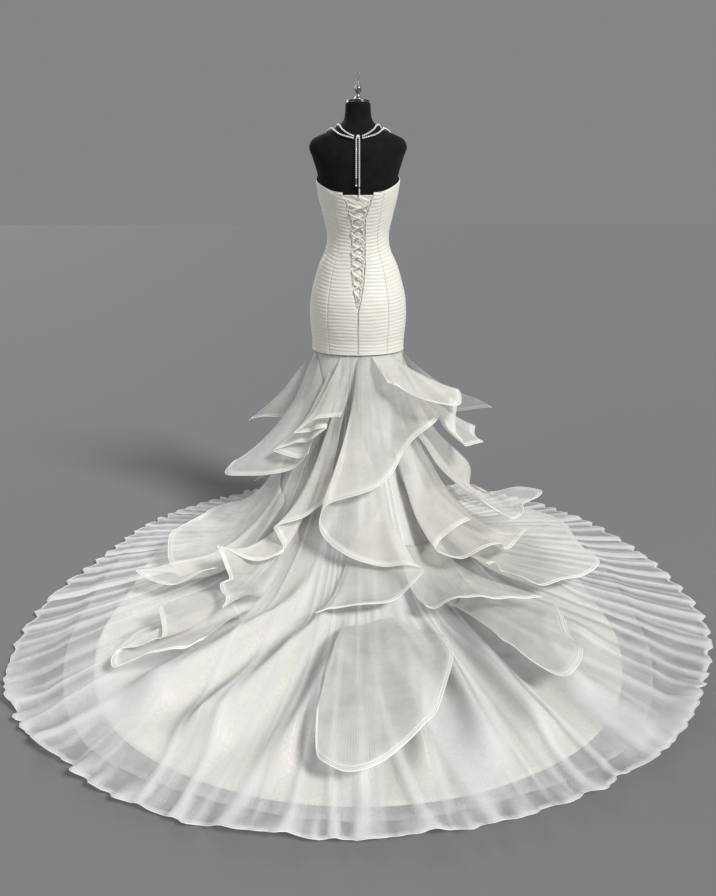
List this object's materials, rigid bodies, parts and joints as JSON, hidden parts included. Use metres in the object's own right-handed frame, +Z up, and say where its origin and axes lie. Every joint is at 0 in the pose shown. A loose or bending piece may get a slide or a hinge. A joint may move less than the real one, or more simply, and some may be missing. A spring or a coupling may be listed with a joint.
{
  "type": "mermaid gown on a dress form",
  "caption": "Strapless mermaid gown with a ruched laced bodice, organza flounces and a round tulle train, on a limbless dress form.",
  "frame": {"origin": "centre of the underside of the dress form's round base, on the floor", "axes": "+Z up, the gown's back and its train lie towards -Y, which is the side the picture shows, and +X is to the right in the picture"},
  "size_m": [2.1874, 1.9722, 1.6799],
  "materials": {
    "bodice_satin": "fine pleated satin chiffon",
    "lacing_cord": "satin cord",
    "skirt_satin": "soft satin",
    "tulle": "sheer tulle",
    "organza": "sheer organza with a satin-piped hem",
    "pearl": "pearl",
    "form_black": "black cloth cover",
    "steel": "polished"
  },
  "bodies": {
    "root": {"bodice_back_left": "bodice_satin", "bodice_side_left": "bodice_satin", "bodice_back_right": "bodice_satin", "bodice_side_right": "bodice_satin", "bodice_front": "bodice_satin", "modesty_panel": "bodice_satin", "zip_placket": "bodice_satin", "loops_left": "lacing_cord", "loops_right": "lacing_cord", "lace_ribbon_a": "lacing_cord", "lace_ribbon_b": "lacing_cord", "satin_skirt": "skirt_satin", "tulle_under": "tulle", "tulle_over": "tulle", "flounce_centre": "organza", "flounce_corner_right": "organza", "flounce_floor_back": "organza", "flounce_floor_left": "organza", "flounce_floor_right": "organza", "flounce_front_lower": "organza", "flounce_front_middle": "organza", "flounce_front_upper": "organza", "flounce_inner_right": "organza", "flounce_low_right": "organza", "flounce_middle_left": "organza", "flounce_middle_right": "organza", "flounce_outer_left": "organza", "flounce_upper_left": "organza", "flounce_upper_right": "organza", "pearl_strand_left_upper": "pearl", "pearl_strand_left_lower": "pearl", "pearl_tail_left": "pearl", "pearl_strand_right_upper": "pearl", "pearl_strand_right_lower": "pearl", "pearl_tail_right": "pearl", "neck_clasp": "pearl", "form_body": "form_black", "form_base": "form_black", "form_neck_cap": "steel", "form_finial": "steel", "form_pole": "steel", "form_hook": "steel"}
  },
  "joints": []
}
